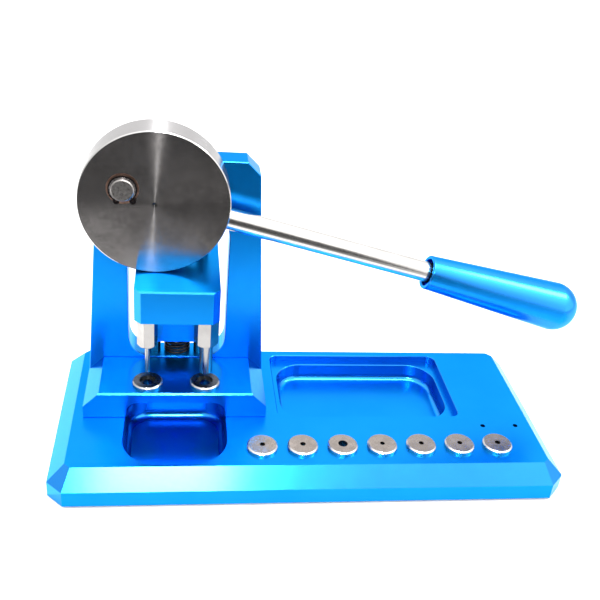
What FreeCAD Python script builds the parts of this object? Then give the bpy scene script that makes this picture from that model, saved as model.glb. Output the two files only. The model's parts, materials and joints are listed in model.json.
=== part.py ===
"""Bench lever press for small bearings, modelled as an assembly of separate parts.

Frame: +Z up, X along the base, Y from the front edge to the back, millimetres.
The origin is on the table, under the centre of the base plate.
"""
import FreeCAD, Part
import os
import Sketcher

doc = FreeCAD.newDocument("lever_press")

# ---------------------------------------------------------------- dimensions

DIMENSIONS = {
    # edges broken with a file
    "edge_break": 0.3,
    # base plate and its feet
    "base_width": 240,
    "base_depth": 108,
    "base_thick": 15.5,
    "base_corner": 7.25,
    "base_bevel": 7.7,
    "foot_height": 1.5,
    "foot_recess": 1,
    "foot_rad": 6.5,
    "foot_inset_x": 17,
    "foot_inset_y": 10,
    # tray on the right of the base
    "tray_left": -14.5,
    "tray_right": 77.7,
    "tray_front": -11,
    "tray_back": 42.3,
    "tray_lip_depth": 4,
    "tray_lip_rad": 4,
    "tray_ledge": 2.9,
    "tray_floor": 4,
    "tray_corner_rad": 14,
    "tray_fillet": 3,
    # catch pocket under and in front of the anvil
    "pocket_half": 23.8,
    "pocket_front": -44.9,
    "pocket_back": 3.6,
    "pocket_floor": 6,
    "pocket_corner_rad": 17,
    "pocket_back_rad": 12.6,
    "pocket_fillet": 4.5,
    # rack of spare dies and the two holes for spare punches
    "rack_first_x": -24.2,
    "rack_pitch": 19,
    "rack_y": -33.9,
    "spare_die_bore_1": 1.25,
    "spare_die_bore_2": 1.3,
    "spare_die_bore_3": 2.25,
    "spare_die_bore_4": 1.15,
    "spare_die_bore_5": 1.2,
    "spare_die_bore_6": 1.2,
    "spare_die_bore_7": 1.3,
    "spare_hole_x": 87.5,
    "spare_hole_pitch": 17,
    "spare_hole_y": -18.8,
    "spare_hole_rad": 1.2,
    "spare_hole_depth": 9,
    # dies
    "die_rad": 7.1,
    "die_thick": 5,
    "die_seat_depth": 3,
    "die_seat_rad": 7.16,
    "die_bevel": 0.6,
    "anvil_die_bore": 2.4,
    "anvil_die_recess": 3.8,
    "anvil_die_recess_depth": 1.5,
    # anvil block
    "press_x": -64.2,
    "anvil_half": 43.3,
    "anvil_front": -11.3,
    "anvil_height": 13.8,
    "anvil_side_bevel": 7.4,
    "anvil_front_bevel": 0.7,
    "arch_half": 23.3,
    "arch_height": 8.5,
    "arch_rad": 5.5,
    "drop_hole_rad": 4,
    # column
    "column_front": 19.7,
    "column_thick": 12.7,
    "column_height": 118.9,
    "column_foot_half": 43.6,
    "column_top_half": 36.6,
    "column_top_bevel": 6.2,
    "window_half": 23.7,
    "window_bottom": 31.4,
    "window_top": 109.5,
    "window_rad": 11.5,
    # guide posts and return spring
    "post_rad": 3,
    "post_offset": 11.2,
    "post_header": 12,
    "spring_mean_rad": 5.85,
    "spring_wire_rad": 0.65,
    "spring_pitch": 1.8,
    "spring_pocket_rad": 6.7,
    "spring_end_gap": 0.05,
    "spring_pocket_top": 61.5,
    # base screws, M5 socket heads from below
    "screw_offset": 33,
    "screw_anvil_y": 4,
    "screw_rad": 2.5,
    "screw_clear_rad": 2.75,
    "screw_head_rad": 4.25,
    "screw_head_high": 5,
    "screw_sink": 6,
    "screw_sink_rad": 4.75,
    "screw_socket_flats": 4,
    "screw_socket_deep": 2.5,
    "screw_length": 20,
    "screw_hole_extra": 1,
    # cam disc and its pivot
    "cam_rad": 33,
    "cam_front": 2.6,
    "cam_thick": 16,
    "cam_bevel": 0.4,
    "centre_mark_rad": 0.8,
    "centre_mark_depth": 0.5,
    "cam_x": -74.64,
    "cam_z": 121.4,
    "pivot_x": -88.1,
    "pivot_z": 128.4,
    "bush_wall": 2,
    "shaft_rad": 5,
    "shaft_front": 0,
    "shaft_bevel": 0.5,
    "shaft_groove_rad": 4.7,
    "running_gap": 0.03,
    "collar_rad": 7.5,
    "collar_thick": 1,
    "circlip_outer": 6.2,
    "circlip_thick": 1,
    "circlip_gap": 0.1,
    "circlip_mouth": 6.4,
    "circlip_mouth_x": 0.8,
    "circlip_lug_rad": 1.4,
    "circlip_lug_x": 3.5,
    "circlip_lug_drop": 5.4,
    "circlip_hole_rad": 0.5,
    "stud_rad": 4,
    "stud_step": 0.5,
    "stud_length": 11.5,
    "washer_rad": 7.5,
    "washer_thick": 1.6,
    "nut_flats": 13,
    "nut_high": 6.5,
    # handle, measured along its axis from the cam centre
    "handle_drop": 14.5,
    "handle_offset": 0.6,
    "rod_rad": 5,
    "rod_start": 17,
    "rod_end": 162,
    "grip_start": 133,
    "grip_mouth_rad": 8.3,
    "grip_mouth_depth": 5,
    "grip_mouth_bore": 6.5,
    "grip_end_rad": 12.2,
    "grip_dome_start": 203.5,
    "grip_lip_round": 0.6,
    # ram
    "ram_half": 18.95,
    "ram_front": -15.3,
    "ram_back": 33.9,
    "ram_bottom": 72,
    "ram_top": 88.2,
    "ram_bevel": 3.1,
    "ram_edge": 0.7,
    "leg_half": 18,
    "leg_front": 18.2,
    "leg_bottom": 41.1,
    "guide_bush_rad": 4,
    "guide_bush_length": 12,
    # punches and the hexagonal holders that clamp them
    "punch_spacing": 27.2,
    "punch_y": -2.7,
    "punch_tip": 37.7,
    "punch_top": 66,
    "thin_punch_tip_bevel": 0.3,
    "thick_punch_tip_bevel": 1,
    "thin_punch_rad": 1.22,
    "thick_punch_rad": 3.2,
    "holder_stud": 7.5,
    "holder_tap_depth": 8,
    "hex_bevel": 0.8,
    "hex_end_inset": 0.1,
    "thin_holder_flats": 8.3,
    "thick_holder_flats": 10.1,
    "thin_holder_bottom": 53.3,
    "thick_holder_bottom": 54.5,
    "thin_holder_stud_rad": 2.5,
    "thick_holder_stud_rad": 4,
    "thin_holder_turn": 12.5,
    "thick_holder_turn": -13.2,
}

SPARE_DIES = 7

sheet = doc.addObject("Spreadsheet::Sheet", "Dims")
for row, (alias, size) in enumerate(DIMENSIONS.items(), start=1):
    sheet.set("A%d" % row, alias)
    sheet.set("B%d" % row, str(size))
    sheet.setAlias("B%d" % row, alias)
doc.recompute()

# expressions used in several places, all in terms of the sheet
BASE_TOP = "(Dims.foot_height + Dims.base_thick)"
ANVIL_TOP = "(%s + Dims.anvil_height)" % BASE_TOP
COLUMN_BACK = "(Dims.column_front + Dims.column_thick)"
COLUMN_MID = "(Dims.column_front + Dims.column_thick / 2)"
COLUMN_TOP = "(%s + Dims.column_height)" % BASE_TOP
POST_TOP = "(Dims.window_top + Dims.post_header)"
CAM_MID = "(Dims.cam_front + Dims.cam_thick / 2)"
SIDES = {"left": -1, "right": 1}

# a placement only keeps its axis while it has some turn; the expressions then set the angle
ANY_TURN = 45
# two levels closer than this are the same, and a pocket must remove more than this
SAME_LEVEL = 1e-4
SMALLEST_CUT = 0.01


def value(expression):
    """The number an expression gives with the sheet's present sizes."""
    return float(sheet.evalExpression(expression))


# ------------------------------------------------------------ sketch helpers

def origin_plane(body, role):
    return [plane for plane in body.Origin.OriginFeatures if plane.Role == role][0]


def new_sketch(body, name, role, offset="0"):
    """A sketch on one of the body's own planes, moved along the plane's normal."""
    sketch = body.newObject("Sketcher::SketchObject", name)
    sketch.AttachmentSupport = [(origin_plane(body, role), "")]
    sketch.MapMode = "FlatFace"
    sketch.setExpression("AttachmentOffset.Base.z", offset)
    return sketch


def bind(sketch, constraint, expression):
    index = sketch.addConstraint(constraint)
    sketch.setExpression("Constraints[%d]" % index, expression)


def pin_point(sketch, geometry, point, x, y):
    bind(sketch, Sketcher.Constraint("DistanceX", -1, 1, geometry, point, value(x)), x)
    bind(sketch, Sketcher.Constraint("DistanceY", -1, 1, geometry, point, value(y)), y)


def arc_between(start, end, radius, side):
    """The short arc from start to end; side 1 bulges left of the way from start to end."""
    chord = end - start
    middle = (start + end) * 0.5
    left = FreeCAD.Vector(-chord.y, chord.x, 0).normalize()
    to_centre = (radius ** 2 - (chord.Length / 2) ** 2) ** 0.5
    top = middle + left * side * (radius - to_centre)
    return Part.Arc(start, top, end)


def draw_profile(sketch, corners):
    """A closed outline. Each corner is (x, y) and starts a straight line to the next,
    or (x, y, radius, side) and starts an arc to the next."""
    points = [FreeCAD.Vector(value(corner[0]), value(corner[1]), 0) for corner in corners]
    count = len(corners)
    for index, corner in enumerate(corners):
        start = points[index]
        end = points[(index + 1) % count]
        if len(corner) == 2:
            sketch.addGeometry(Part.LineSegment(start, end), False)
        else:
            sketch.addGeometry(arc_between(start, end, value(corner[2]), corner[3]), False)
    # the sketcher counts every arc anticlockwise, so one drawn clockwise has its ends swapped
    ends = [(2, 1) if len(corner) == 4 and corner[3] == 1 else (1, 2) for corner in corners]
    for index, corner in enumerate(corners):
        following = (index + 1) % count
        sketch.addConstraint(
            Sketcher.Constraint("Coincident", index, ends[index][1], following, ends[following][0]))
        pin_point(sketch, index, ends[index][0], corner[0], corner[1])
        if len(corner) == 4:
            bind(sketch, Sketcher.Constraint("Radius", index, value(corner[2])), corner[2])


def draw_circle(sketch, x, y, radius):
    centre = FreeCAD.Vector(value(x), value(y), 0)
    index = sketch.addGeometry(Part.Circle(centre, FreeCAD.Vector(0, 0, 1), value(radius)), False)
    pin_point(sketch, index, 3, x, y)
    bind(sketch, Sketcher.Constraint("Radius", index, value(radius)), radius)


def rounded_box(left, right, low, high, low_rad, high_rad):
    """Corners of a rectangle whose low and high corner pairs have their own radii."""
    return [
        ("%s + %s" % (left, low_rad), low),
        ("%s - %s" % (right, low_rad), low, low_rad, -1),
        (right, "%s + %s" % (low, low_rad)),
        (right, "%s - %s" % (high, high_rad), high_rad, -1),
        ("%s - %s" % (right, high_rad), high),
        ("%s + %s" % (left, high_rad), high, high_rad, -1),
        (left, "%s - %s" % (high, high_rad)),
        (left, "%s + %s" % (low, low_rad), low_rad, -1),
    ]


# ----------------------------------------------------------- feature helpers

def new_body(name):
    body = doc.addObject("PartDesign::Body", name)
    body.Label = name
    return body


def pad(body, sketch, length, reverse=False):
    feature = body.newObject("PartDesign::Pad", sketch.Name + "_pad")
    feature.Profile = sketch
    feature.setExpression("Length", length)
    feature.Reversed = reverse
    doc.recompute()
    return feature


def pocket(body, sketch, depth, reverse=False):
    """A pocket that is checked to have removed material."""
    before = body.Shape.Volume
    feature = body.newObject("PartDesign::Pocket", sketch.Name + "_pocket")
    feature.Profile = sketch
    feature.setExpression("Length", depth)
    feature.Reversed = reverse
    doc.recompute()
    if not body.Shape.Volume < before - SMALLEST_CUT:
        raise RuntimeError("pocket %s cuts nothing" % feature.Name)
    return feature


def dress(body, kind, name, wanted, size):
    """A fillet or chamfer on the edges of the body's tip that wanted(edge) accepts."""
    tip = body.Tip
    names = ["Edge%d" % (index + 1) for index, edge in enumerate(tip.Shape.Edges) if wanted(edge)]
    if not names:
        raise RuntimeError("no edge found for %s" % name)
    feature = body.newObject("PartDesign::%s" % kind, name)
    feature.Base = (tip, names)
    feature.setExpression("Radius" if kind == "Fillet" else "Size", size)
    doc.recompute()
    return feature


def near(first, second):
    return abs(first - second) < SAME_LEVEL


def flat_at(edge, axis, level):
    """True when the whole edge lies in the plane axis = level."""
    box = edge.BoundBox
    return near(getattr(box, axis + "Min"), level) and near(getattr(box, axis + "Max"), level)


def place(thing, x="0", y="0", z="0", axis=(0, 0, 1), turn="0"):
    """Put an object at a point, turned about an axis, all bound to the sheet."""
    thing.Placement = FreeCAD.Placement(
        FreeCAD.Vector(0, 0, 0), FreeCAD.Rotation(FreeCAD.Vector(*axis), ANY_TURN))
    thing.setExpression("Placement.Base.x", x)
    thing.setExpression("Placement.Base.y", y)
    thing.setExpression("Placement.Base.z", z)
    thing.setExpression("Placement.Rotation.Angle", turn)
    return thing


def cylinder(name, radius, height, **where):
    shape = doc.addObject("Part::Cylinder", name)
    shape.setExpression("Radius", radius)
    shape.setExpression("Height", height)
    return place(shape, **where)


def cone(name, low_radius, high_radius, height, **where):
    shape = doc.addObject("Part::Cone", name)
    shape.setExpression("Radius1", low_radius)
    shape.setExpression("Radius2", high_radius)
    shape.setExpression("Height", height)
    return place(shape, **where)


def hexagon(name, flats, height, **where):
    shape = doc.addObject("Part::Prism", name)
    shape.Polygon = 6
    shape.setExpression("Circumradius", "(%s) / 2 / cos(30 deg)" % flats)
    shape.setExpression("Height", height)
    return place(shape, **where)


def turned_hexagon(name, flats, height, **where):
    """A hexagonal bar whose ends have been bevelled on a lathe."""
    blank = hexagon(name + "_bar", flats, height, **where)
    corner = "(%s) / 2 / cos(30 deg)" % flats
    end = "(%s) / 2 - Dims.hex_end_inset" % flats
    envelope = doc.addObject("PartDesign::Body", name + "_turned")
    outline = new_sketch(envelope, name + "_outline", "XZ_Plane")
    draw_profile(outline, [
        ("0", "0"), (end, "0"), (corner, "Dims.hex_bevel"),
        (corner, "%s - Dims.hex_bevel" % height), (end, height), ("0", height),
    ])
    turned = envelope.newObject("PartDesign::Revolution", name + "_spun")
    turned.Profile = outline
    turned.ReferenceAxis = (outline, ["V_Axis"])
    turned.Angle = 360
    place(envelope, **where)
    common = doc.addObject("Part::MultiCommon", name)
    common.Shapes = [blank, envelope]
    return common


def join(name, *shapes):
    union = doc.addObject("Part::MultiFuse", name)
    union.Shapes = list(shapes)
    union.Refine = True
    return union


def cut(name, base, *tools):
    tool = tools[0] if len(tools) == 1 else join(name + "_tools", *tools)
    result = doc.addObject("Part::Cut", name)
    result.Base = base
    result.Tool = tool
    return result


# Turning a primitive's +Z onto +Y: its height then runs towards the back.
TOWARDS_BACK = {"axis": (1, 0, 0), "turn": "-90"}


# --------------------------------------------------------------- base plate

def make_base_plate():
    """Plate with cut corners and a bevelled rim, a tray, a catch pocket and seats."""
    body = new_body("base_plate")
    half_w = "Dims.base_width / 2"
    half_d = "Dims.base_depth / 2"
    inner_w = "(Dims.base_width / 2 - Dims.base_corner)"
    inner_d = "(Dims.base_depth / 2 - Dims.base_corner)"
    outline = new_sketch(body, "base_outline", "XY_Plane", "Dims.foot_height")
    draw_profile(outline, [
        ("-" + inner_w, "-" + half_d), (inner_w, "-" + half_d),
        (half_w, "-" + inner_d), (half_w, inner_d),
        (inner_w, half_d), ("-" + inner_w, half_d),
        ("-" + half_w, inner_d), ("-" + half_w, "-" + inner_d),
    ])
    pad(body, outline, "Dims.base_thick")
    top = value(BASE_TOP)
    dress(body, "Chamfer", "rim_bevel", lambda edge: flat_at(edge, "Z", top), "Dims.base_bevel")

    lip = new_sketch(body, "tray_lip", "XY_Plane", BASE_TOP)
    draw_profile(lip, rounded_box("Dims.tray_left", "Dims.tray_right", "Dims.tray_front",
                                  "Dims.tray_back", "Dims.tray_lip_rad", "Dims.tray_lip_rad"))
    pocket(body, lip, "Dims.tray_lip_depth")
    well = new_sketch(body, "tray_well", "XY_Plane", BASE_TOP)
    draw_profile(well, rounded_box(
        "(Dims.tray_left + Dims.tray_ledge)", "(Dims.tray_right - Dims.tray_ledge)",
        "(Dims.tray_front + Dims.tray_ledge)", "(Dims.tray_back - Dims.tray_ledge)",
        "Dims.tray_corner_rad", "Dims.tray_corner_rad"))
    pocket(body, well, "%s - Dims.tray_floor" % BASE_TOP)
    dress(body, "Fillet", "tray_fillet",
          lambda edge: flat_at(edge, "Z", value("Dims.tray_floor")), "Dims.tray_fillet")

    ledge = value("%s - Dims.tray_lip_depth" % BASE_TOP)
    well_right = value("Dims.tray_right - Dims.tray_ledge") + SAME_LEVEL
    well_left = value("Dims.tray_left + Dims.tray_ledge") - SAME_LEVEL
    well_back = value("Dims.tray_back - Dims.tray_ledge") + SAME_LEVEL
    well_front = value("Dims.tray_front + Dims.tray_ledge") - SAME_LEVEL
    dress(body, "Chamfer", "well_edges",
          lambda edge: flat_at(edge, "Z", ledge) and edge.BoundBox.XMin > well_left
          and edge.BoundBox.XMax < well_right and edge.BoundBox.YMin > well_front
          and edge.BoundBox.YMax < well_back, "Dims.edge_break")

    catch = new_sketch(body, "catch_pocket", "XY_Plane", BASE_TOP)
    draw_profile(catch, rounded_box(
        "(Dims.press_x - Dims.pocket_half)", "(Dims.press_x + Dims.pocket_half)",
        "Dims.pocket_front", "Dims.pocket_back", "Dims.pocket_corner_rad", "Dims.pocket_back_rad"))
    pocket(body, catch, "%s - Dims.pocket_floor" % BASE_TOP)
    dress(body, "Fillet", "catch_fillet",
          lambda edge: flat_at(edge, "Z", value("Dims.pocket_floor")), "Dims.pocket_fillet")

    rim_x = value("%s - Dims.base_bevel" % half_w) - SAME_LEVEL
    rim_y = value("%s - Dims.base_bevel" % half_d) - SAME_LEVEL
    dress(body, "Chamfer", "recess_edges",
          lambda edge: flat_at(edge, "Z", top) and abs(edge.BoundBox.XMin) < rim_x
          and abs(edge.BoundBox.XMax) < rim_x and abs(edge.BoundBox.YMin) < rim_y
          and abs(edge.BoundBox.YMax) < rim_y, "Dims.edge_break")

    seats = new_sketch(body, "die_seats", "XY_Plane", BASE_TOP)
    for index in range(SPARE_DIES):
        draw_circle(seats, rack_x(index), "Dims.rack_y", "Dims.die_seat_rad")
    pocket(body, seats, "Dims.die_seat_depth")
    spares = new_sketch(body, "spare_holes", "XY_Plane", BASE_TOP)
    for index in range(2):
        draw_circle(spares, "Dims.spare_hole_x + %d * Dims.spare_hole_pitch" % index,
                    "Dims.spare_hole_y", "Dims.spare_hole_rad")
    pocket(body, spares, "Dims.spare_hole_depth")

    feet = new_sketch(body, "foot_seats", "XY_Plane", "Dims.foot_height")
    for x, y in foot_centres().values():
        draw_circle(feet, x, y, "Dims.foot_rad")
    pocket(body, feet, "Dims.foot_recess", reverse=True)
    holes = new_sketch(body, "screw_holes", "XY_Plane", "Dims.foot_height")
    sinks = new_sketch(body, "screw_sinks", "XY_Plane", "Dims.foot_height")
    for x, y in screw_centres():
        draw_circle(holes, x, y, "Dims.screw_clear_rad")
        draw_circle(sinks, x, y, "Dims.screw_sink_rad")
    pocket(body, holes, "Dims.base_thick", reverse=True)
    pocket(body, sinks, "Dims.screw_sink", reverse=True)
    return body


def rack_x(index):
    return "Dims.rack_first_x + %d * Dims.rack_pitch" % index


def foot_centres():
    """Centre of each rubber foot, by name."""
    centres = {}
    for depth, y_sign in (("front", -1), ("rear", 1)):
        for side, x_sign in SIDES.items():
            centres["foot_%s_%s" % (depth, side)] = (
                "%d * (Dims.base_width / 2 - Dims.foot_inset_x)" % x_sign,
                "%d * (Dims.base_depth / 2 - Dims.foot_inset_y)" % y_sign)
    return centres


def screw_centres():
    """Two screws up into the anvil block and two up into the column."""
    return [("Dims.press_x + %d * Dims.screw_offset" % sign, y)
            for y in ("Dims.screw_anvil_y", COLUMN_MID) for sign in SIDES.values()]


def make_feet():
    return [cylinder(name, "Dims.foot_rad", "Dims.foot_height + Dims.foot_recess", x=x, y=y)
            for name, (x, y) in foot_centres().items()]


def make_base_screws():
    """Socket head screws seated in the counterbores under the base."""
    screws = []
    head_low = "(Dims.foot_height + Dims.screw_sink - Dims.screw_head_high)"
    for index, (x, y) in enumerate(screw_centres()):
        name = "screw_%d" % (index + 1)
        head = cylinder(name + "_head", "Dims.screw_head_rad", "Dims.screw_head_high",
                        x=x, y=y, z=head_low)
        shank = cylinder(name + "_shank", "Dims.screw_rad",
                         "Dims.screw_head_high + Dims.screw_length", x=x, y=y, z=head_low)
        socket = hexagon(name + "_socket", "Dims.screw_socket_flats",
                         "Dims.screw_socket_deep", x=x, y=y, z=head_low)
        screws.append(cut(name, join(name + "_blank", head, shank), socket))
    group = doc.addObject("Part::Compound", "base_screws")
    group.Links = screws
    return group


def screw_hole(name, x, y):
    """The tapped hole above the base for one base screw."""
    low = "(Dims.foot_height + Dims.screw_sink)"
    return cylinder(name, "Dims.screw_rad", "Dims.screw_length + Dims.screw_hole_extra", x=x, y=y, z=low)


# --------------------------------------------------- anvil block and column

def make_anvil_block():
    """Block with bevelled sides over the catch pocket, bored under its two dies."""
    body = new_body("anvil_body")
    profile = new_sketch(body, "anvil_profile", "XZ_Plane", "-Dims.anvil_front")
    left = "(Dims.press_x - Dims.anvil_half)"
    right = "(Dims.press_x + Dims.anvil_half)"
    shoulder = "(%s - Dims.anvil_side_bevel)" % ANVIL_TOP
    arch_left = "(Dims.press_x - Dims.arch_half)"
    arch_right = "(Dims.press_x + Dims.arch_half)"
    arch_top = "(%s + Dims.arch_height)" % BASE_TOP
    draw_profile(profile, [
        (left, BASE_TOP),
        (arch_left, BASE_TOP),
        (arch_left, "%s - Dims.arch_rad" % arch_top, "Dims.arch_rad", 1),
        ("%s + Dims.arch_rad" % arch_left, arch_top),
        ("%s - Dims.arch_rad" % arch_right, arch_top, "Dims.arch_rad", 1),
        (arch_right, "%s - Dims.arch_rad" % arch_top),
        (arch_right, BASE_TOP),
        (right, BASE_TOP),
        (right, shoulder),
        ("%s - Dims.anvil_side_bevel" % right, ANVIL_TOP),
        ("%s + Dims.anvil_side_bevel" % left, ANVIL_TOP),
        (left, shoulder),
    ])
    front_part = "Dims.pocket_back - Dims.anvil_front"
    pad(body, profile, front_part, reverse=True)
    solid = new_sketch(body, "anvil_rear", "XZ_Plane", "-Dims.pocket_back")
    draw_profile(solid, [
        (left, BASE_TOP), (right, BASE_TOP), (right, shoulder),
        ("%s - Dims.anvil_side_bevel" % right, ANVIL_TOP),
        ("%s + Dims.anvil_side_bevel" % left, ANVIL_TOP), (left, shoulder),
    ])
    pad(body, solid, "Dims.column_front - Dims.pocket_back", reverse=True)
    front = value("Dims.anvil_front")
    top = value(ANVIL_TOP)
    dress(body, "Chamfer", "anvil_edge",
          lambda edge: flat_at(edge, "Z", top) and flat_at(edge, "Y", front),
          "Dims.anvil_front_bevel")
    bottom = value(BASE_TOP)
    rear = value("Dims.column_front")
    dress(body, "Chamfer", "anvil_seams",
          lambda edge: (flat_at(edge, "Z", bottom) and flat_at(edge, "Y", front))
          or (flat_at(edge, "Z", top) and flat_at(edge, "Y", rear)), "Dims.edge_break")
    seats = new_sketch(body, "anvil_seats", "XY_Plane", ANVIL_TOP)
    drops = new_sketch(body, "anvil_drops", "XY_Plane", ANVIL_TOP)
    for side in SIDES:
        draw_circle(seats, punch_x(side), "Dims.punch_y", "Dims.die_seat_rad")
        draw_circle(drops, punch_x(side), "Dims.punch_y", "Dims.drop_hole_rad")
    pocket(body, seats, "Dims.die_seat_depth")
    pocket(body, drops, "Dims.anvil_height")
    holes = [screw_hole("anvil_screw_hole_%d" % index, x, y)
             for index, (x, y) in enumerate(screw_centres()) if y != COLUMN_MID]
    return cut("anvil_block", body, *holes)


def punch_x(side):
    return "(Dims.press_x + %d * Dims.punch_spacing / 2)" % SIDES[side]


def post_x(side):
    return "(Dims.press_x + %d * Dims.post_offset)" % SIDES[side]


def make_column():
    """Tapered upright with a rounded window for the ram and a solid head for the shaft."""
    body = new_body("column_body")
    profile = new_sketch(body, "column_profile", "XZ_Plane", "-Dims.column_front")
    bevel = "Dims.column_top_bevel"
    draw_profile(profile, [
        ("Dims.press_x - Dims.column_foot_half", BASE_TOP),
        ("Dims.press_x + Dims.column_foot_half", BASE_TOP),
        ("Dims.press_x + Dims.column_top_half", "%s - %s" % (COLUMN_TOP, bevel)),
        ("Dims.press_x + Dims.column_top_half - %s" % bevel, COLUMN_TOP),
        ("Dims.press_x - Dims.column_top_half + %s" % bevel, COLUMN_TOP),
        ("Dims.press_x - Dims.column_top_half", "%s - %s" % (COLUMN_TOP, bevel)),
    ])
    pad(body, profile, "Dims.column_thick", reverse=True)
    window = new_sketch(body, "column_window", "XZ_Plane", "-Dims.column_front")
    draw_profile(window, rounded_box(
        "(Dims.press_x - Dims.window_half)", "(Dims.press_x + Dims.window_half)",
        "Dims.window_bottom", "Dims.window_top", "Dims.window_rad", "Dims.window_rad"))
    pocket(body, window, "Dims.column_thick")
    foot = value(BASE_TOP)
    for name, face in (("front", "Dims.column_front"), ("back", COLUMN_BACK)):
        level = value(face)
        dress(body, "Chamfer", "column_%s_edge" % name,
              lambda edge: flat_at(edge, "Y", level) and not flat_at(edge, "Z", foot),
              "Dims.edge_break")
    shaft = new_sketch(body, "column_shaft_hole", "XZ_Plane", "-Dims.column_front")
    draw_circle(shaft, "Dims.pivot_x", "Dims.pivot_z", "Dims.shaft_rad")
    pocket(body, shaft, "Dims.column_thick")
    bores = [cylinder("post_bore_%s" % side, "Dims.post_rad", "%s - %s" % (POST_TOP, BASE_TOP),
                      x=post_x(side), y=COLUMN_MID, z=BASE_TOP) for side in SIDES]
    holes = [screw_hole("column_screw_hole_%d" % index, x, y)
             for index, (x, y) in enumerate(screw_centres()) if y == COLUMN_MID]
    return cut("column", body, *bores, *holes)


def make_guide_posts():
    return [cylinder("guide_post_%s" % side, "Dims.post_rad", "%s - %s" % (POST_TOP, BASE_TOP),
                     x=post_x(side), y=COLUMN_MID, z=BASE_TOP) for side in SIDES]


def make_return_spring():
    """Round wire helix between the window sill and the pocket inside the ram's leg."""
    low = "(Dims.window_bottom + Dims.spring_wire_rad)"
    high = "(Dims.spring_pocket_top - Dims.spring_wire_rad)"
    line = doc.addObject("Part::Helix", "spring_line")
    line.setExpression("Pitch", "Dims.spring_pitch")
    line.setExpression("Height", "%s - %s - 2 * Dims.spring_end_gap" % (high, low))
    line.setExpression("Radius", "Dims.spring_mean_rad")
    ring = doc.addObject("Part::Circle", "spring_wire")
    ring.setExpression("Radius", "Dims.spring_wire_rad")
    place(ring, x="Dims.spring_mean_rad", axis=(1, 0, 0), turn="90")
    coil = doc.addObject("Part::Sweep", "return_spring")
    coil.Sections = [ring]
    coil.Spine = (line, ["Edge1"])
    coil.Solid = True
    coil.Frenet = True
    return place(coil, x="Dims.press_x", y=COLUMN_MID, z=low + " + Dims.spring_end_gap")


# ------------------------------------------------------------ cam and shaft

def make_cam_disc():
    """Eccentric steel disc, bored off centre for its bush and radially for the rod."""
    body = new_body("cam_body")
    face = new_sketch(body, "cam_face", "XZ_Plane", "-Dims.cam_front")
    draw_circle(face, "Dims.cam_x", "Dims.cam_z", "Dims.cam_rad")
    pad(body, face, "Dims.cam_thick", reverse=True)
    dress(body, "Chamfer", "cam_bevels",
          lambda edge: not near(edge.BoundBox.XLength, 0) and near(edge.BoundBox.YLength, 0),
          "Dims.cam_bevel")
    bore = new_sketch(body, "cam_bore", "XZ_Plane", "-Dims.cam_front")
    draw_circle(bore, "Dims.pivot_x", "Dims.pivot_z", "Dims.shaft_rad + Dims.bush_wall")
    pocket(body, bore, "Dims.cam_thick")
    mark = cone("cam_centre_mark", "Dims.centre_mark_rad", "0", "Dims.centre_mark_depth",
                x="Dims.cam_x", y="Dims.cam_front", z="Dims.cam_z", **TOWARDS_BACK)
    rod_hole = along_handle("rod_hole", "Dims.rod_rad", "Dims.rod_start",
                            "Dims.cam_rad + Dims.rod_rad")
    return cut("cam_disc", body, mark, rod_hole)


def handle_point(along):
    """Where a distance along the handle's axis lies, as x and z expressions."""
    x = "Dims.cam_x + (%s) * cos(Dims.handle_drop * 1 deg)" % along
    z = "Dims.cam_z - Dims.handle_offset - (%s) * sin(Dims.handle_drop * 1 deg)" % along
    return x, z


def along_handle(name, radius, start, end):
    """A cylinder on the handle's axis."""
    x, z = handle_point(start)
    return cylinder(name, radius, "%s - (%s)" % (end, start), x=x, y=CAM_MID, z=z,
                    axis=(0, 1, 0), turn="90 + Dims.handle_drop")


def make_pivot_bush():
    outer = cylinder("bush_outer", "Dims.shaft_rad + Dims.bush_wall", "Dims.cam_thick",
                     x="Dims.pivot_x", y="Dims.cam_front", z="Dims.pivot_z", **TOWARDS_BACK)
    inner = cylinder("bush_inner", "Dims.shaft_rad + Dims.running_gap", "Dims.cam_thick",
                     x="Dims.pivot_x", y="Dims.cam_front", z="Dims.pivot_z", **TOWARDS_BACK)
    return cut("pivot_bush", outer, inner)


def on_shaft(name, radius, start, end):
    """A cylinder on the pivot's axis between two y positions."""
    return cylinder(name, radius, "%s - (%s)" % (end, start), x="Dims.pivot_x", y=start,
                    z="Dims.pivot_z", **TOWARDS_BACK)


def circlip_y():
    return "(Dims.cam_front - Dims.circlip_gap - Dims.circlip_thick)"


def make_pivot_shaft():
    """Shaft with a bevelled nose, a circlip groove, a collar and a threaded rear stud."""
    nose = cone("shaft_nose", "Dims.shaft_rad - Dims.shaft_bevel", "Dims.shaft_rad",
                "Dims.shaft_bevel", x="Dims.pivot_x", y="Dims.shaft_front", z="Dims.pivot_z",
                **TOWARDS_BACK)
    tip = on_shaft("shaft_tip", "Dims.shaft_rad", "Dims.shaft_front + Dims.shaft_bevel",
                   circlip_y())
    groove = on_shaft("shaft_groove", "Dims.shaft_groove_rad", circlip_y(),
                      "%s + Dims.circlip_thick" % circlip_y())
    journal = on_shaft("shaft_journal", "Dims.shaft_rad",
                       "%s + Dims.circlip_thick" % circlip_y(), "%s - Dims.stud_step" % COLUMN_BACK)
    collar = on_shaft("shaft_collar", "Dims.collar_rad",
                      "Dims.column_front - Dims.collar_thick", "Dims.column_front")
    stud_end = "(%s + Dims.stud_length)" % COLUMN_BACK
    stud = on_shaft("shaft_stud", "Dims.stud_rad", "%s - Dims.stud_step" % COLUMN_BACK,
                    "%s - Dims.shaft_bevel" % stud_end)
    stud_tip = cone("shaft_stud_tip", "Dims.stud_rad", "Dims.stud_rad - Dims.shaft_bevel",
                    "Dims.shaft_bevel", x="Dims.pivot_x",
                    y="%s - Dims.shaft_bevel" % stud_end, z="Dims.pivot_z", **TOWARDS_BACK)
    return join("pivot_shaft", nose, tip, groove, journal, collar, stud, stud_tip)


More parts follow.
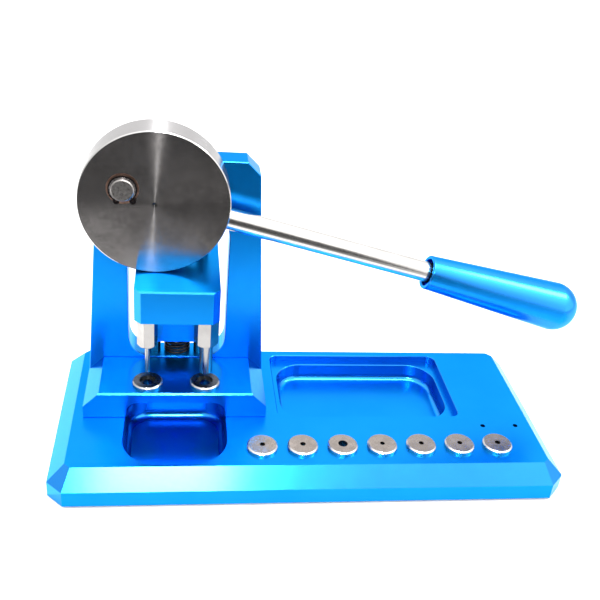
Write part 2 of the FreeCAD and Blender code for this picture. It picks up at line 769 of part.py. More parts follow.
def make_circlip():
    """Open ring with two drilled lugs, its mouth facing down."""
    back = "%s + Dims.circlip_thick" % circlip_y()
    ring = on_shaft("circlip_ring", "Dims.circlip_outer", circlip_y(), back)
    mouth = doc.addObject("Part::Box", "circlip_gap")
    mouth.setExpression("Length", "Dims.circlip_mouth")
    mouth.setExpression("Width", "Dims.circlip_thick")
    mouth.setExpression("Height", "Dims.circlip_outer")
    place(mouth, x="Dims.pivot_x + Dims.circlip_mouth_x - Dims.circlip_mouth / 2", y=circlip_y(),
          z="Dims.pivot_z - Dims.circlip_outer")
    open_ring = cut("circlip_open_ring", ring, mouth)
    lugs = []
    holes = []
    for side, sign in SIDES.items():
        x = "Dims.pivot_x + Dims.circlip_mouth_x + %d * Dims.circlip_lug_x" % sign
        for rounds, kind in ((lugs, "lug"), (holes, "hole")):
            rounds.append(cylinder("circlip_%s_%s" % (kind, side), "Dims.circlip_%s_rad" % kind,
                                   "Dims.circlip_thick", x=x, y=circlip_y(),
                                   z="Dims.pivot_z - Dims.circlip_lug_drop", **TOWARDS_BACK))
    inside = on_shaft("circlip_inside", "Dims.shaft_groove_rad", circlip_y(), back)
    return cut("circlip", join("circlip_blank", open_ring, *lugs), inside, *holes)


def make_rear_washer():
    outer = on_shaft("rear_washer_outer", "Dims.washer_rad", COLUMN_BACK,
                     "%s + Dims.washer_thick" % COLUMN_BACK)
    inner = on_shaft("rear_washer_inner", "Dims.stud_rad", COLUMN_BACK,
                     "%s + Dims.washer_thick" % COLUMN_BACK)
    return cut("rear_washer", outer, inner)


def make_rear_nut():
    low = "(%s + Dims.washer_thick)" % COLUMN_BACK
    blank = turned_hexagon("rear_nut_blank", "Dims.nut_flats", "Dims.nut_high",
                           x="Dims.pivot_x", y=low, z="Dims.pivot_z", **TOWARDS_BACK)
    thread = on_shaft("rear_nut_thread", "Dims.stud_rad", low, "%s + Dims.nut_high" % low)
    return cut("rear_nut", blank, thread)


# ------------------------------------------------------------------- handle

def make_handle_rod():
    return along_handle("handle_rod", "Dims.rod_rad", "Dims.rod_start", "Dims.rod_end")


def make_handle_grip():
    """Turned grip that widens to a domed end, bored for the rod, with a recessed mouth."""
    body = new_body("handle_grip")
    outline = new_sketch(body, "grip_outline", "XY_Plane")
    dome_end = "(Dims.grip_dome_start + Dims.grip_end_rad)"
    draw_profile(outline, [
        ("Dims.rod_end", "0"),
        (dome_end, "0", "Dims.grip_end_rad", -1),
        ("Dims.grip_dome_start", "Dims.grip_end_rad"),
        ("Dims.grip_start", "Dims.grip_mouth_rad"),
        ("Dims.grip_start", "Dims.grip_mouth_bore"),
        ("Dims.grip_start + Dims.grip_mouth_depth", "Dims.grip_mouth_bore"),
        ("Dims.grip_start + Dims.grip_mouth_depth", "Dims.rod_rad"),
        ("Dims.rod_end", "Dims.rod_rad"),
    ])
    turned = body.newObject("PartDesign::Revolution", "grip_turned")
    turned.Profile = outline
    turned.ReferenceAxis = (outline, ["H_Axis"])
    turned.Angle = 360
    doc.recompute()
    dress(body, "Fillet", "grip_lip",
          lambda edge: flat_at(edge, "X", value("Dims.grip_start")), "Dims.grip_lip_round")
    x, z = handle_point("0")
    return place(body, x=x, y=CAM_MID, z=z, axis=(0, 1, 0), turn="Dims.handle_drop")


# --------------------------------------------------------------------- ram

def make_ram_block():
    """Head over the anvil with a leg that runs on the posts inside the window."""
    body = new_body("ram_body")
    head = new_sketch(body, "ram_head", "XY_Plane", "Dims.ram_bottom")
    left = "(Dims.press_x - Dims.ram_half)"
    right = "(Dims.press_x + Dims.ram_half)"
    draw_profile(head, [
        ("%s + Dims.ram_bevel" % left, "Dims.ram_front"),
        ("%s - Dims.ram_bevel" % right, "Dims.ram_front"),
        (right, "Dims.ram_front + Dims.ram_bevel"),
        (right, "Dims.ram_back"),
        (left, "Dims.ram_back"),
        (left, "Dims.ram_front + Dims.ram_bevel"),
    ])
    pad(body, head, "Dims.ram_top - Dims.ram_bottom")
    front = value("Dims.ram_front")
    top = value("Dims.ram_top")
    dress(body, "Chamfer", "ram_edge",
          lambda edge: flat_at(edge, "Z", top) and flat_at(edge, "Y", front), "Dims.ram_edge")
    leg = new_sketch(body, "ram_leg", "XY_Plane", "Dims.leg_bottom")
    draw_profile(leg, [
        ("Dims.press_x - Dims.leg_half", "Dims.leg_front"),
        ("Dims.press_x + Dims.leg_half", "Dims.leg_front"),
        ("Dims.press_x + Dims.leg_half", "Dims.ram_back"),
        ("Dims.press_x - Dims.leg_half", "Dims.ram_back"),
    ])
    pad(body, leg, "Dims.ram_bottom - Dims.leg_bottom")
    bores = new_sketch(body, "ram_bores", "XY_Plane", "Dims.leg_bottom")
    for side in SIDES:
        draw_circle(bores, post_x(side), COLUMN_MID, "Dims.guide_bush_rad")
    pocket(body, bores, "Dims.ram_top - Dims.leg_bottom", reverse=True)
    spring = new_sketch(body, "ram_spring_pocket", "XY_Plane", "Dims.leg_bottom")
    draw_circle(spring, "Dims.press_x", COLUMN_MID, "Dims.spring_pocket_rad")
    pocket(body, spring, "Dims.spring_pocket_top - Dims.leg_bottom", reverse=True)
    taps = []
    for side, kind in (("left", "thin"), ("right", "thick")):
        taps.append(cylinder("%s_holder_tap" % kind, "Dims.%s_holder_stud_rad" % kind,
                             "Dims.holder_tap_depth", x=punch_x(side), y="Dims.punch_y",
                             z="Dims.ram_bottom"))
    return cut("ram_block", body, *taps)


def make_guide_bushes():
    """A bronze bush at the bottom and the top of each of the ram's two bores."""
    bushes = []
    levels = {"lower": "Dims.leg_bottom", "upper": "Dims.ram_top - Dims.guide_bush_length"}
    for side in SIDES:
        for level, low in levels.items():
            name = "guide_bush_%s_%s" % (side, level)
            outer = cylinder(name + "_outer", "Dims.guide_bush_rad", "Dims.guide_bush_length",
                             x=post_x(side), y=COLUMN_MID, z=low)
            inner = cylinder(name + "_inner", "Dims.post_rad + Dims.running_gap",
                             "Dims.guide_bush_length", x=post_x(side), y=COLUMN_MID, z=low)
            bushes.append(cut(name, outer, inner))
    return bushes


def make_punch_holder(kind, side):
    """Hexagonal holder with a stud screwed up into the ram and a bore for the punch."""
    bottom = "Dims.%s_holder_bottom" % kind
    where = {"x": punch_x(side), "y": "Dims.punch_y"}
    hexagonal = turned_hexagon("%s_holder_hex" % kind, "Dims.%s_holder_flats" % kind,
                               "(Dims.ram_bottom - %s)" % bottom, z=bottom,
                               turn="Dims.%s_holder_turn" % kind, **where)
    stud = cylinder("%s_holder_stud" % kind, "Dims.%s_holder_stud_rad" % kind,
                    "Dims.holder_stud", z="Dims.ram_bottom", **where)
    bore = cylinder("%s_holder_bore" % kind, "Dims.%s_punch_rad" % kind,
                    "Dims.punch_top - %s" % bottom, z=bottom, **where)
    return cut("%s_punch_holder" % kind, join("%s_holder_blank" % kind, hexagonal, stud), bore)


def make_punch(kind, side):
    """Straight pin with a small bevel round its tip."""
    where = {"x": punch_x(side), "y": "Dims.punch_y"}
    radius = "Dims.%s_punch_rad" % kind
    bevel = "Dims.%s_punch_tip_bevel" % kind
    tip = cone("%s_punch_tip" % kind, "%s - %s" % (radius, bevel), radius, bevel,
               z="Dims.punch_tip", **where)
    pin = cylinder("%s_punch_pin" % kind, radius, "Dims.punch_top - Dims.punch_tip - %s" % bevel,
                   z="Dims.punch_tip + %s" % bevel, **where)
    return join("%s_punch" % kind, tip, pin)


# -------------------------------------------------------------------- dies

def make_die(name, bore, x, y, low, recess=False):
    """Round die with bevelled rims and a bore, recessed at the top when asked."""
    where = {"x": x, "y": y}
    straight = "Dims.die_thick - 2 * Dims.die_bevel"
    lower = cone(name + "_lower", "Dims.die_rad - Dims.die_bevel", "Dims.die_rad",
                 "Dims.die_bevel", z=low, **where)
    middle = cylinder(name + "_middle", "Dims.die_rad", straight,
                      z="%s + Dims.die_bevel" % low, **where)
    upper = cone(name + "_upper", "Dims.die_rad", "Dims.die_rad - Dims.die_bevel",
                 "Dims.die_bevel", z="%s + Dims.die_thick - Dims.die_bevel" % low, **where)
    tools = [cylinder(name + "_bore", bore, "Dims.die_thick", z=low, **where)]
    if recess:
        tools.append(cylinder(name + "_recess", "Dims.anvil_die_recess",
                              "Dims.anvil_die_recess_depth",
                              z="%s + Dims.die_thick - Dims.anvil_die_recess_depth" % low,
                              **where))
    return cut(name, join(name + "_blank", lower, middle, upper), *tools)


def make_dies():
    dies = []
    for side in SIDES:
        dies.append(make_die("anvil_die_%s" % side, "Dims.anvil_die_bore", punch_x(side),
                             "Dims.punch_y", "(%s - Dims.die_seat_depth)" % ANVIL_TOP,
                             recess=True))
    for index in range(SPARE_DIES):
        number = index + 1
        dies.append(make_die("spare_die_%d" % number, "Dims.spare_die_bore_%d" % number,
                             rack_x(index), "Dims.rack_y",
                             "(%s - Dims.die_seat_depth)" % BASE_TOP))
    return dies


# ---------------------------------------------------------------- assembly

def make_parts():
    parts = [make_base_plate()]
    parts += make_feet()
    parts += [make_base_screws(), make_anvil_block(), make_column()]
    parts += make_guide_posts()
    parts += [make_return_spring()]
    parts += [make_pivot_shaft(), make_circlip(), make_rear_washer(), make_rear_nut()]
    parts += [make_cam_disc(), make_pivot_bush(), make_handle_rod(), make_handle_grip()]
    parts += [make_ram_block()]
    parts += make_guide_bushes()
    for kind, side in (("thin", "left"), ("thick", "right")):
        parts += [make_punch_holder(kind, side), make_punch(kind, side)]
    parts += make_dies()
    return parts


def check_document():
    for item in doc.Objects:
        if "Invalid" in item.State or "Error" in item.State:
            raise RuntimeError("%s failed to compute" % item.Name)


def export(parts):
    os.makedirs("parts", exist_ok=True)
    for part in parts:
        if part.Shape.isNull() or not part.Shape.isValid() or not part.Shape.Solids:
            raise RuntimeError("%s has no valid solid" % part.Name)
    for part in parts:
        part.Shape.exportStep("parts/%s.step" % part.Label)


PARTS = make_parts()
for part in PARTS:
    part.Label = part.Name
doc.recompute()
check_document()
export(PARTS)
print("%d parts written" % len(PARTS))
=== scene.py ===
"""Looks for the bench lever press: materials, spring, thread, camera and studio light.

Metres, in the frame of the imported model: +X along the base, +Y to the back, +Z up.
"""
import json
import math

import bpy
from mathutils import Matrix, Vector


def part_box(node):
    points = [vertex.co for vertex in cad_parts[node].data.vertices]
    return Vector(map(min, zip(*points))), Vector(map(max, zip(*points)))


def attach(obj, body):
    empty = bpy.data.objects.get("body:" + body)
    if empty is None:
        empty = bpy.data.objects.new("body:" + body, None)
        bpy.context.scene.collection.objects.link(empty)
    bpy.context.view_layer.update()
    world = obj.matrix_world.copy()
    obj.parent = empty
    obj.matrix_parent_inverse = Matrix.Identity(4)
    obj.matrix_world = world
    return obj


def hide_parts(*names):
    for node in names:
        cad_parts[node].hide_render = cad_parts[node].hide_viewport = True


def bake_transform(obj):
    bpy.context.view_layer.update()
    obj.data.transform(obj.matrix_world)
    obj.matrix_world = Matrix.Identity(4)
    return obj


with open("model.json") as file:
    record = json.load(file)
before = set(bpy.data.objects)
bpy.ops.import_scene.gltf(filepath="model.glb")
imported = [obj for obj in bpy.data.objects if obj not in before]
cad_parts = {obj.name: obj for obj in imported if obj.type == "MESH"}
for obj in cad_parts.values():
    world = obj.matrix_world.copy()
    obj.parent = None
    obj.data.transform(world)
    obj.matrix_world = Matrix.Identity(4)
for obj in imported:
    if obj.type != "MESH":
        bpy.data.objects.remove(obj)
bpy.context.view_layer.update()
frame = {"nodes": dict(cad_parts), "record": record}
scene = bpy.context.scene
nodes = frame["nodes"]

MM = 0.001


# ------------------------------------------------------------------- camera

CAMERA_PLACE = (-0.06309, -0.33034, 0.26884)
CAMERA_YAW = -0.16599
CAMERA_PITCH = -0.52055
CAMERA_ROLL = -0.10053
LENS = 49.68
SENSOR = 36.0


def make_camera():
    """The camera looks down and a little to the left of the base, slightly rolled."""
    data = bpy.data.cameras.new("camera")
    data.lens = LENS
    data.sensor_width = SENSOR
    data.clip_start = 0.01
    camera = bpy.data.objects.new("camera", data)
    scene.collection.objects.link(camera)
    aim = (Matrix.Rotation(CAMERA_YAW, 4, "Z") @ Matrix.Rotation(CAMERA_PITCH, 4, "X")
           @ Matrix.Rotation(CAMERA_ROLL, 4, "Y") @ Matrix.Rotation(math.pi / 2, 4, "X"))
    camera.matrix_world = Matrix.Translation(CAMERA_PLACE) @ aim
    scene.camera = camera


make_camera()
scene.view_settings.view_transform = "Standard"


# ------------------------------------------------------------- node helpers

class Shader:
    """A material's node tree, with short calls for the nodes used here."""

    def __init__(self, name):
        self.material = bpy.data.materials.new(name)
        self.material.use_nodes = True
        self.tree = self.material.node_tree
        self.bsdf = self.tree.nodes["Principled BSDF"]
        self.coordinates = self.tree.nodes.new("ShaderNodeTexCoord")

    def place(self, source="Object"):
        return self.coordinates.outputs[source]

    def join(self, output, target):
        self.tree.links.new(output, target)

    def set(self, **values):
        for name, value in values.items():
            self.bsdf.inputs[name.replace("_", " ")].default_value = value

    def feed(self, name, output):
        self.join(output, self.bsdf.inputs[name])

    def math(self, operation, first, second=None):
        node = self.tree.nodes.new("ShaderNodeMath")
        node.operation = operation
        for index, value in enumerate((first, second)):
            if value is None:
                continue
            if isinstance(value, (int, float)):
                node.inputs[index].default_value = value
            else:
                self.join(value, node.inputs[index])
        return node.outputs[0]

    def vector(self, operation, first, second=None):
        node = self.tree.nodes.new("ShaderNodeVectorMath")
        node.operation = operation
        self.join(first, node.inputs[0])
        if second is not None:
            node.inputs[1].default_value = second
        return node

    def facing(self):
        """How squarely the surface faces along X, Y and Z, each from 0 to 1."""
        split = self.tree.nodes.new("ShaderNodeSeparateXYZ")
        self.join(self.vector("ABSOLUTE", self.place("Normal")).outputs[0], split.inputs[0])
        return split.outputs

    def noise(self, size, detail=2.0, rough=0.5, source="Object", stretch=(1, 1, 1)):
        """Noise whose features are about size metres across, or more along a stretch below 1."""
        scaled = self.vector("MULTIPLY", self.place(source), stretch).outputs[0]
        node = self.tree.nodes.new("ShaderNodeTexNoise")
        node.inputs["Scale"].default_value = 1 / size
        node.inputs["Detail"].default_value = detail
        node.inputs["Roughness"].default_value = rough
        self.join(scaled, node.inputs["Vector"])
        return node.outputs["Fac"]

    def ramp(self, value, stops):
        """A colour or grey ramp through (position, colour) stops."""
        node = self.tree.nodes.new("ShaderNodeValToRGB")
        elements = node.color_ramp.elements
        while len(elements) < len(stops):
            elements.new(0.5)
        for element, (position, colour) in zip(elements, stops):
            element.position = position
            grey = isinstance(colour, (int, float))
            element.color = (colour, colour, colour, 1) if grey else (*colour, 1)
        self.join(value, node.inputs["Fac"])
        return node.outputs["Color"]

    def remap(self, value, low, high, new_low, new_high):
        node = self.tree.nodes.new("ShaderNodeMapRange")
        node.inputs["From Min"].default_value = low
        node.inputs["From Max"].default_value = high
        node.inputs["To Min"].default_value = new_low
        node.inputs["To Max"].default_value = new_high
        self.join(value, node.inputs["Value"])
        return node.outputs["Result"]

    def mix(self, factor, first, second):
        node = self.tree.nodes.new("ShaderNodeMix")
        node.data_type = "RGBA"
        for socket, value in ((0, factor), (6, first), (7, second)):
            if isinstance(value, (int, float)):
                node.inputs[socket].default_value = value
            elif isinstance(value, tuple):
                node.inputs[socket].default_value = (*value, 1)
            else:
                self.join(value, node.inputs[socket])
        return node.outputs[2]

    def bump(self, height, depth, under=None):
        """A bump of the given depth in metres, on top of another bump if there is one."""
        node = self.tree.nodes.new("ShaderNodeBump")
        node.inputs["Distance"].default_value = depth
        self.join(height, node.inputs["Height"])
        if under is not None:
            self.join(under, node.inputs["Normal"])
        return node.outputs["Normal"]

    def radius_about(self, centre, axis, source="Object"):
        """Distance from a line through centre along axis 0, 1 or 2."""
        moved = self.vector("SUBTRACT", self.place(source), centre).outputs[0]
        keep = tuple(0 if index == axis else 1 for index in range(3))
        flat = self.vector("MULTIPLY", moved, keep).outputs[0]
        return self.vector("LENGTH", flat).outputs["Value"]

    def rings(self, radius, pitch):
        """Fine uneven grooves: one-dimensional noise along a radius or an axis."""
        node = self.tree.nodes.new("ShaderNodeTexNoise")
        node.noise_dimensions = "1D"
        node.inputs["Scale"].default_value = 1 / pitch
        node.inputs["Detail"].default_value = 3
        self.join(radius, node.inputs["W"])
        return node.outputs["Fac"]

    def radial_tangent(self, axis):
        node = self.tree.nodes.new("ShaderNodeTangent")
        node.direction_type = "RADIAL"
        node.axis = axis
        self.feed("Tangent", node.outputs["Tangent"])


# ---------------------------------------------------------------- materials

SQUARE_FLAT = 0.985
SQUARE_BEVEL = 0.93


def blue_anodised():
    """Blue anodised aluminium: blasted matt on the flats, cut bright on bevels and rounds.

    A surface is a flat when it faces one axis more squarely than SQUARE_FLAT.
    """
    shader = Shader("blue_anodised")
    broad = shader.noise(0.035, detail=3)
    colour = shader.ramp(broad, [(0.3, (0.001, 0.168, 0.53)), (0.7, (0.003, 0.186, 0.57))])
    shader.feed("Base Color", colour)
    facing = shader.facing()
    squareness = shader.math("MAXIMUM", facing["X"], facing["Y"])
    squareness = shader.math("MAXIMUM", squareness, facing["Z"])
    shader.feed("Coat Weight", shader.remap(squareness, SQUARE_FLAT, SQUARE_BEVEL, 0.02, 0.17))
    cloud = shader.remap(shader.noise(0.004, detail=4), 0.3, 0.7, -0.02, 0.02)
    gloss = shader.remap(squareness, SQUARE_FLAT, SQUARE_BEVEL, 0.31, 0.22)
    shader.feed("Roughness", shader.math("ADD", cloud, gloss))
    grain = shader.noise(0.0003, detail=2)
    shader.feed("Normal", shader.bump(grain, 0.000004))
    shader.set(Metallic=1.0, Specular_Tint=(0.45, 0.8, 1.0, 1), Coat_Roughness=0.16,
               Coat_IOR=1.9)
    return shader.material


def rubber():
    """The feet: matt, finely speckled rubber."""
    shader = Shader("rubber")
    speckle = shader.noise(0.0008, detail=4)
    shader.feed("Base Color", shader.ramp(speckle, [(0.35, 0.012), (0.65, 0.03)]))
    shader.feed("Roughness", shader.remap(speckle, 0.3, 0.7, 0.7, 0.85))
    shader.feed("Normal", shader.bump(speckle, 0.00004))
    shader.set(Specular_IOR_Level=0.3)
    return shader.material


def black_steel():
    """The screws under the base: blackened steel."""
    shader = Shader("black_steel")
    cloud = shader.noise(0.002, detail=4)
    shader.feed("Base Color", shader.ramp(cloud, [(0.35, 0.03), (0.7, 0.07)]))
    shader.feed("Roughness", shader.remap(cloud, 0.3, 0.7, 0.3, 0.45))
    shader.feed("Normal", shader.bump(shader.noise(0.0004), 0.00001))
    shader.set(Metallic=1.0)
    return shader.material


MARK_RADIUS = 0.9 * MM
MARK_EDGE = 1.2 * MM


def ground_steel():
    """The disc: its face turned, dark, faintly stained, with a centre mark; its bevel and rim
    painted lighter, a painted sheen.
    """
    shader = Shader("ground_steel")
    low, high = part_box("cam_disc")
    centre = (low + high) / 2
    radius = shader.radius_about(tuple(centre), 1)
    stain = shader.noise(0.016, detail=5, rough=0.6)
    fine = shader.noise(0.0025, detail=5, rough=0.65)
    face = shader.ramp(stain, [(0.32, (0.140, 0.133, 0.130)), (0.55, (0.205, 0.194, 0.190)),
                               (0.75, (0.235, 0.222, 0.220))])
    face = shader.mix(shader.remap(fine, 0.45, 0.75, 0.0, 0.4), face, (0.25, 0.238, 0.238))
    forward = shader.facing()["Y"]
    # Painted light: the bevel and the rim get lighter steel colours than the face, a painted
    # sheen where they catch the light.
    painted_bevel_light = shader.remap(forward, 0.9, 0.8, 0.0, 1.0)
    painted_rim_light = shader.remap(forward, 0.4, 0.2, 0.0, 1.0)
    metal = shader.mix(painted_bevel_light, face, (0.42, 0.413, 0.41))
    metal = shader.mix(painted_rim_light, metal, (0.30, 0.293, 0.295))
    in_mark = shader.remap(radius, MARK_EDGE, MARK_RADIUS, 0.0, 1.0)
    shader.feed("Base Color", shader.mix(in_mark, metal, (0.02, 0.02, 0.02)))
    shader.feed("Roughness", shader.remap(fine, 0.3, 0.7, 0.15, 0.175))
    grooves = shader.bump(shader.rings(radius, 0.00035), 0.000003)
    shader.feed("Normal", shader.bump(fine, 0.000004, grooves))
    shader.radial_tangent("Y")
    shader.set(Metallic=1.0, Anisotropic=1.0, Anisotropic_Rotation=0.25)
    return shader.material


def dull_steel():
    """The shaft: turned and oiled, about as dark as the disc."""
    shader = Shader("dull_steel")
    cloud = shader.noise(0.0012, detail=5, rough=0.65)
    shader.feed("Base Color", shader.ramp(cloud, [(0.3, (0.14, 0.13, 0.125)),
                                                  (0.7, (0.26, 0.25, 0.24))]))
    shader.feed("Roughness", shader.remap(cloud, 0.3, 0.7, 0.24, 0.36))
    shader.feed("Normal", shader.bump(cloud, 0.00001))
    shader.set(Metallic=1.0)
    return shader.material


def polished_steel():
    """Posts, punches, their holders, rear nut and washer: polished, with fine scratches."""
    shader = Shader("polished_steel")
    cloud = shader.noise(0.006, detail=4)
    shader.feed("Base Color", shader.ramp(cloud, [(0.3, (0.25, 0.242, 0.234)),
                                                  (0.7, (0.31, 0.30, 0.29))]))
    shader.feed("Roughness", shader.remap(cloud, 0.3, 0.7, 0.13, 0.21))
    scratch = shader.noise(0.0004, detail=3, stretch=(1, 1, 6))
    shader.feed("Normal", shader.bump(scratch, 0.000003))
    shader.set(Metallic=1.0)
    return shader.material


def rod_steel():
    """The handle's rod: polished across its length, so the fine lines run round it."""
    shader = Shader("rod_steel")
    low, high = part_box("handle_rod")
    along = Vector((high.x - low.x, 0, low.z - high.z)).normalized()
    distance = shader.vector("DOT_PRODUCT", shader.place(), tuple(along)).outputs["Value"]
    lines = shader.rings(distance, 0.00025)
    cloud = shader.noise(0.008, detail=4)
    shader.feed("Base Color", shader.ramp(cloud, [(0.3, (0.46, 0.445, 0.43)),
                                                  (0.7, (0.54, 0.525, 0.51))]))
    shader.feed("Roughness", shader.remap(lines, 0.3, 0.7, 0.14, 0.24))
    shader.feed("Normal", shader.bump(lines, 0.000002))
    shader.set(Metallic=1.0)
    return shader.material


BRIGHT_STEEL_RADIUS = 5.5 * MM
PAINTED_SHADOW_RADIUS = 5.7 * MM


def circlip_steel():
    """The circlip: bright steel at its inner edge; the rest painted near black, a painted shadow
    of the gap around it.
    """
    shader = Shader("circlip_steel")
    low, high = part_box("circlip")
    centre = (0.5 * (low.x + high.x), 0.0, high.z - 0.5 * (high.x - low.x))
    radius = shader.radius_about(centre, 1)
    cloud = shader.noise(0.0012, detail=4)
    bright_steel = shader.ramp(cloud, [(0.3, (0.20, 0.19, 0.19)), (0.7, (0.34, 0.32, 0.32))])
    # Painted shadow: outward from its inner edge the clip is painted near black, standing in for
    # the shade in the gap around it.
    inner = shader.remap(radius, PAINTED_SHADOW_RADIUS, BRIGHT_STEEL_RADIUS, 0.0, 1.0)
    shader.feed("Base Color", shader.mix(inner, (0.02, 0.017, 0.018), bright_steel))
    shader.feed("Roughness", shader.remap(cloud, 0.3, 0.7, 0.22, 0.36))
    shader.feed("Normal", shader.bump(cloud, 0.000004))
    shader.set(Metallic=1.0)
    return shader.material


def spring_steel():
    """The return spring: dark oiled wire."""
    shader = Shader("spring_steel")
    cloud = shader.noise(0.003, detail=4)
    shader.feed("Base Color", shader.ramp(cloud, [(0.3, (0.012, 0.012, 0.014)),
                                                  (0.7, (0.03, 0.029, 0.032))]))
    shader.feed("Roughness", shader.remap(cloud, 0.3, 0.7, 0.25, 0.4))
    shader.feed("Normal", shader.bump(shader.noise(0.0003), 0.000004))
    shader.set(Metallic=1.0)
    return shader.material


def bronze():
    """The bushes: dull bronze."""
    shader = Shader("bronze")
    cloud = shader.noise(0.0015, detail=5, rough=0.6)
    shader.feed("Base Color", shader.ramp(cloud, [(0.3, (0.17, 0.105, 0.08)),
                                                  (0.7, (0.27, 0.17, 0.13))]))
    shader.feed("Roughness", shader.remap(cloud, 0.3, 0.7, 0.28, 0.42))
    shader.feed("Normal", shader.bump(cloud, 0.00001))
    shader.set(Metallic=1.0)
    return shader.material


DIE_FACE_EDGE = 0.45  # share of the die's width, measured from its middle
DIE_RIM_START = 0.465


def die_steel(name, dark, light, rim):
    """Dies: faced on a lathe, so each has its own rings about its own centre."""
    shader = Shader(name)
    radius = shader.radius_about((0.5, 0.5, 0), 2, source="Generated")
    rings = shader.rings(radius, 0.02)
    cloud = shader.noise(0.003, detail=4)
    speck = shader.noise(0.0007, detail=4, rough=0.7)
    face = shader.ramp(cloud, [(0.3, dark), (0.7, light)])
    face = shader.mix(shader.remap(speck, 0.52, 0.75, 0.0, 0.5), face, (0.12, 0.10, 0.09))
    # Painted highlight: the bevel ring round the face gets the lighter rim colour all the way
    # round, where the bevel catches the light.
    painted_rim_light = shader.remap(radius, DIE_FACE_EDGE, DIE_RIM_START, 0.0, 1.0)
    shader.feed("Base Color", shader.mix(painted_rim_light, face, rim))
    shader.feed("Roughness", shader.remap(cloud, 0.3, 0.7, 0.22, 0.32))
    shader.feed("Normal", shader.bump(rings, 0.000004))
    shader.radial_tangent("Z")
    shader.set(Metallic=1.0, Anisotropic=0.5)
    return shader.material


MATERIALS = {
    "blue_anodised": blue_anodised(),
    "rubber": rubber(),
    "black_steel": black_steel(),
    "ground_steel": ground_steel(),
    "polished_steel": polished_steel(),
    "spring_steel": spring_steel(),
    "bronze": bronze(),
    # die_steel: dark and light face tones, then the rim colour, a painted highlight on the bevel
    # ring.
    "die_steel": die_steel("die_steel", (0.19, 0.168, 0.155), (0.255, 0.226, 0.21),
                           (0.50, 0.48, 0.47)),
}
# The two dies on the anvil are painted darker and bluer than the spares, with a weaker rim:
# painted shade and painted reflection of the ram head above them.
PAINTED_SHADE_DIE = die_steel("painted_shade_die_steel", (0.05, 0.055, 0.062), (0.09, 0.10, 0.112),
                     (0.32, 0.32, 0.33))
OWN_MATERIAL = {
    "anvil_die_left": PAINTED_SHADE_DIE,
    "anvil_die_right": PAINTED_SHADE_DIE,
    "handle_rod": rod_steel(),
    "pivot_shaft": dull_steel(),
    "circlip": circlip_steel(),
}

for part in frame["record"]["subparts"]:
    thing = nodes[part["node"]]
    finish = OWN_MATERIAL.get(part["node"], MATERIALS[part["material_slot"]])
    thing.data.materials.clear()
    thing.data.materials.append(finish)


# ----------------------------------------------------------- spring, thread

def tube_mesh(name, path, radius, sides, upright=(0, 0, 1)):
    """A closed round tube along a list of points; upright is the axis of its helix."""
    count = len(path)
    vertices = []
    for index, point in enumerate(path):
        ahead = path[min(index + 1, count - 1)] - path[max(index - 1, 0)]
        ahead.normalize()
        across = ahead.cross(Vector(upright)).normalized()
        over = across.cross(ahead).normalized()
        for side in range(sides):
            angle = 2 * math.pi * side / sides
            spoke = across * math.cos(angle) + over * math.sin(angle)
            vertices.append(point + spoke * radius)
    faces = []
    for index in range(count - 1):
        for side in range(sides):
            following = (side + 1) % sides
            first = index * sides
            faces.append((first + side, first + following,
                          first + sides + following, first + sides + side))
    faces.append(tuple(reversed(range(sides))))
    faces.append(tuple((count - 1) * sides + side for side in range(sides)))
    mesh = bpy.data.meshes.new(name)
    mesh.from_pydata([tuple(vertex) for vertex in vertices], [], faces)
    mesh.polygons.foreach_set("use_smooth", [True] * len(mesh.polygons))
    mesh.update()
    thing = bpy.data.objects.new(name, mesh)
    scene.collection.objects.link(thing)
    return thing


SPRING_WIRE = 0.65 * MM
SPRING_REACH = 5.85 * MM
SPRING_LOW = 31.4 * MM
SPRING_HIGH = 61.5 * MM
SPRING_TURNS = 16
SPRING_STEPS = 36
SPRING_SIDES = 10
SPRING_CLOSED = 1.0  # turns that lie on each other at each end


def make_spring():
    """The return spring, with a closed turn at each end, between sill and ram."""
    low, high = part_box("return_spring")
    centre = (low + high) / 2
    bottom = SPRING_LOW + SPRING_WIRE
    top = SPRING_HIGH - SPRING_WIRE
    closed_rise = 2 * SPRING_WIRE * SPRING_CLOSED
    path = []
    for step in range(SPRING_TURNS * SPRING_STEPS + 1):
        turn = step / SPRING_STEPS
        if turn < SPRING_CLOSED:
            height = bottom + 2 * SPRING_WIRE * turn
        elif turn > SPRING_TURNS - SPRING_CLOSED:
            height = top - 2 * SPRING_WIRE * (SPRING_TURNS - turn)
        else:
            share = (turn - SPRING_CLOSED) / (SPRING_TURNS - 2 * SPRING_CLOSED)
            height = bottom + closed_rise + share * (top - bottom - 2 * closed_rise)
        angle = 2 * math.pi * turn
        path.append(Vector((centre.x + SPRING_REACH * math.cos(angle),
                            centre.y + SPRING_REACH * math.sin(angle), height)))
    spring = tube_mesh("coil_spring", path, SPRING_WIRE, SPRING_SIDES)
    spring.data.materials.append(MATERIALS["spring_steel"])
    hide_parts("return_spring")
    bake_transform(spring)


make_spring()

THREAD_CREST = 0.22 * MM
THREAD_PITCH = 0.8 * MM
THREAD_STEPS = 30
THREAD_SIDES = 6
STUD_RADIUS = 4 * MM


def make_stud_thread():
    """The helical crest on the part of the rear stud that stands out of its nut."""
    nut_low, nut_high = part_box("rear_nut")
    centre = (nut_low + nut_high) / 2
    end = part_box("pivot_shaft")[1].y
    start = nut_high.y + THREAD_CREST
    turns = int((end - 2 * THREAD_PITCH - start) / THREAD_PITCH)
    path = []
    for step in range(turns * THREAD_STEPS + 1):
        turn = step / THREAD_STEPS
        angle = 2 * math.pi * turn
        path.append(Vector((centre.x + STUD_RADIUS * math.cos(angle),
                            start + THREAD_PITCH * turn,
                            centre.z + STUD_RADIUS * math.sin(angle))))
    thread = tube_mesh("stud_thread", path, THREAD_CREST, THREAD_SIDES, (0, 1, 0))
    thread.data.materials.append(MATERIALS["polished_steel"])
    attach(thread, "base")


make_stud_thread()


# ------------------------------------------------------------ floor, cards

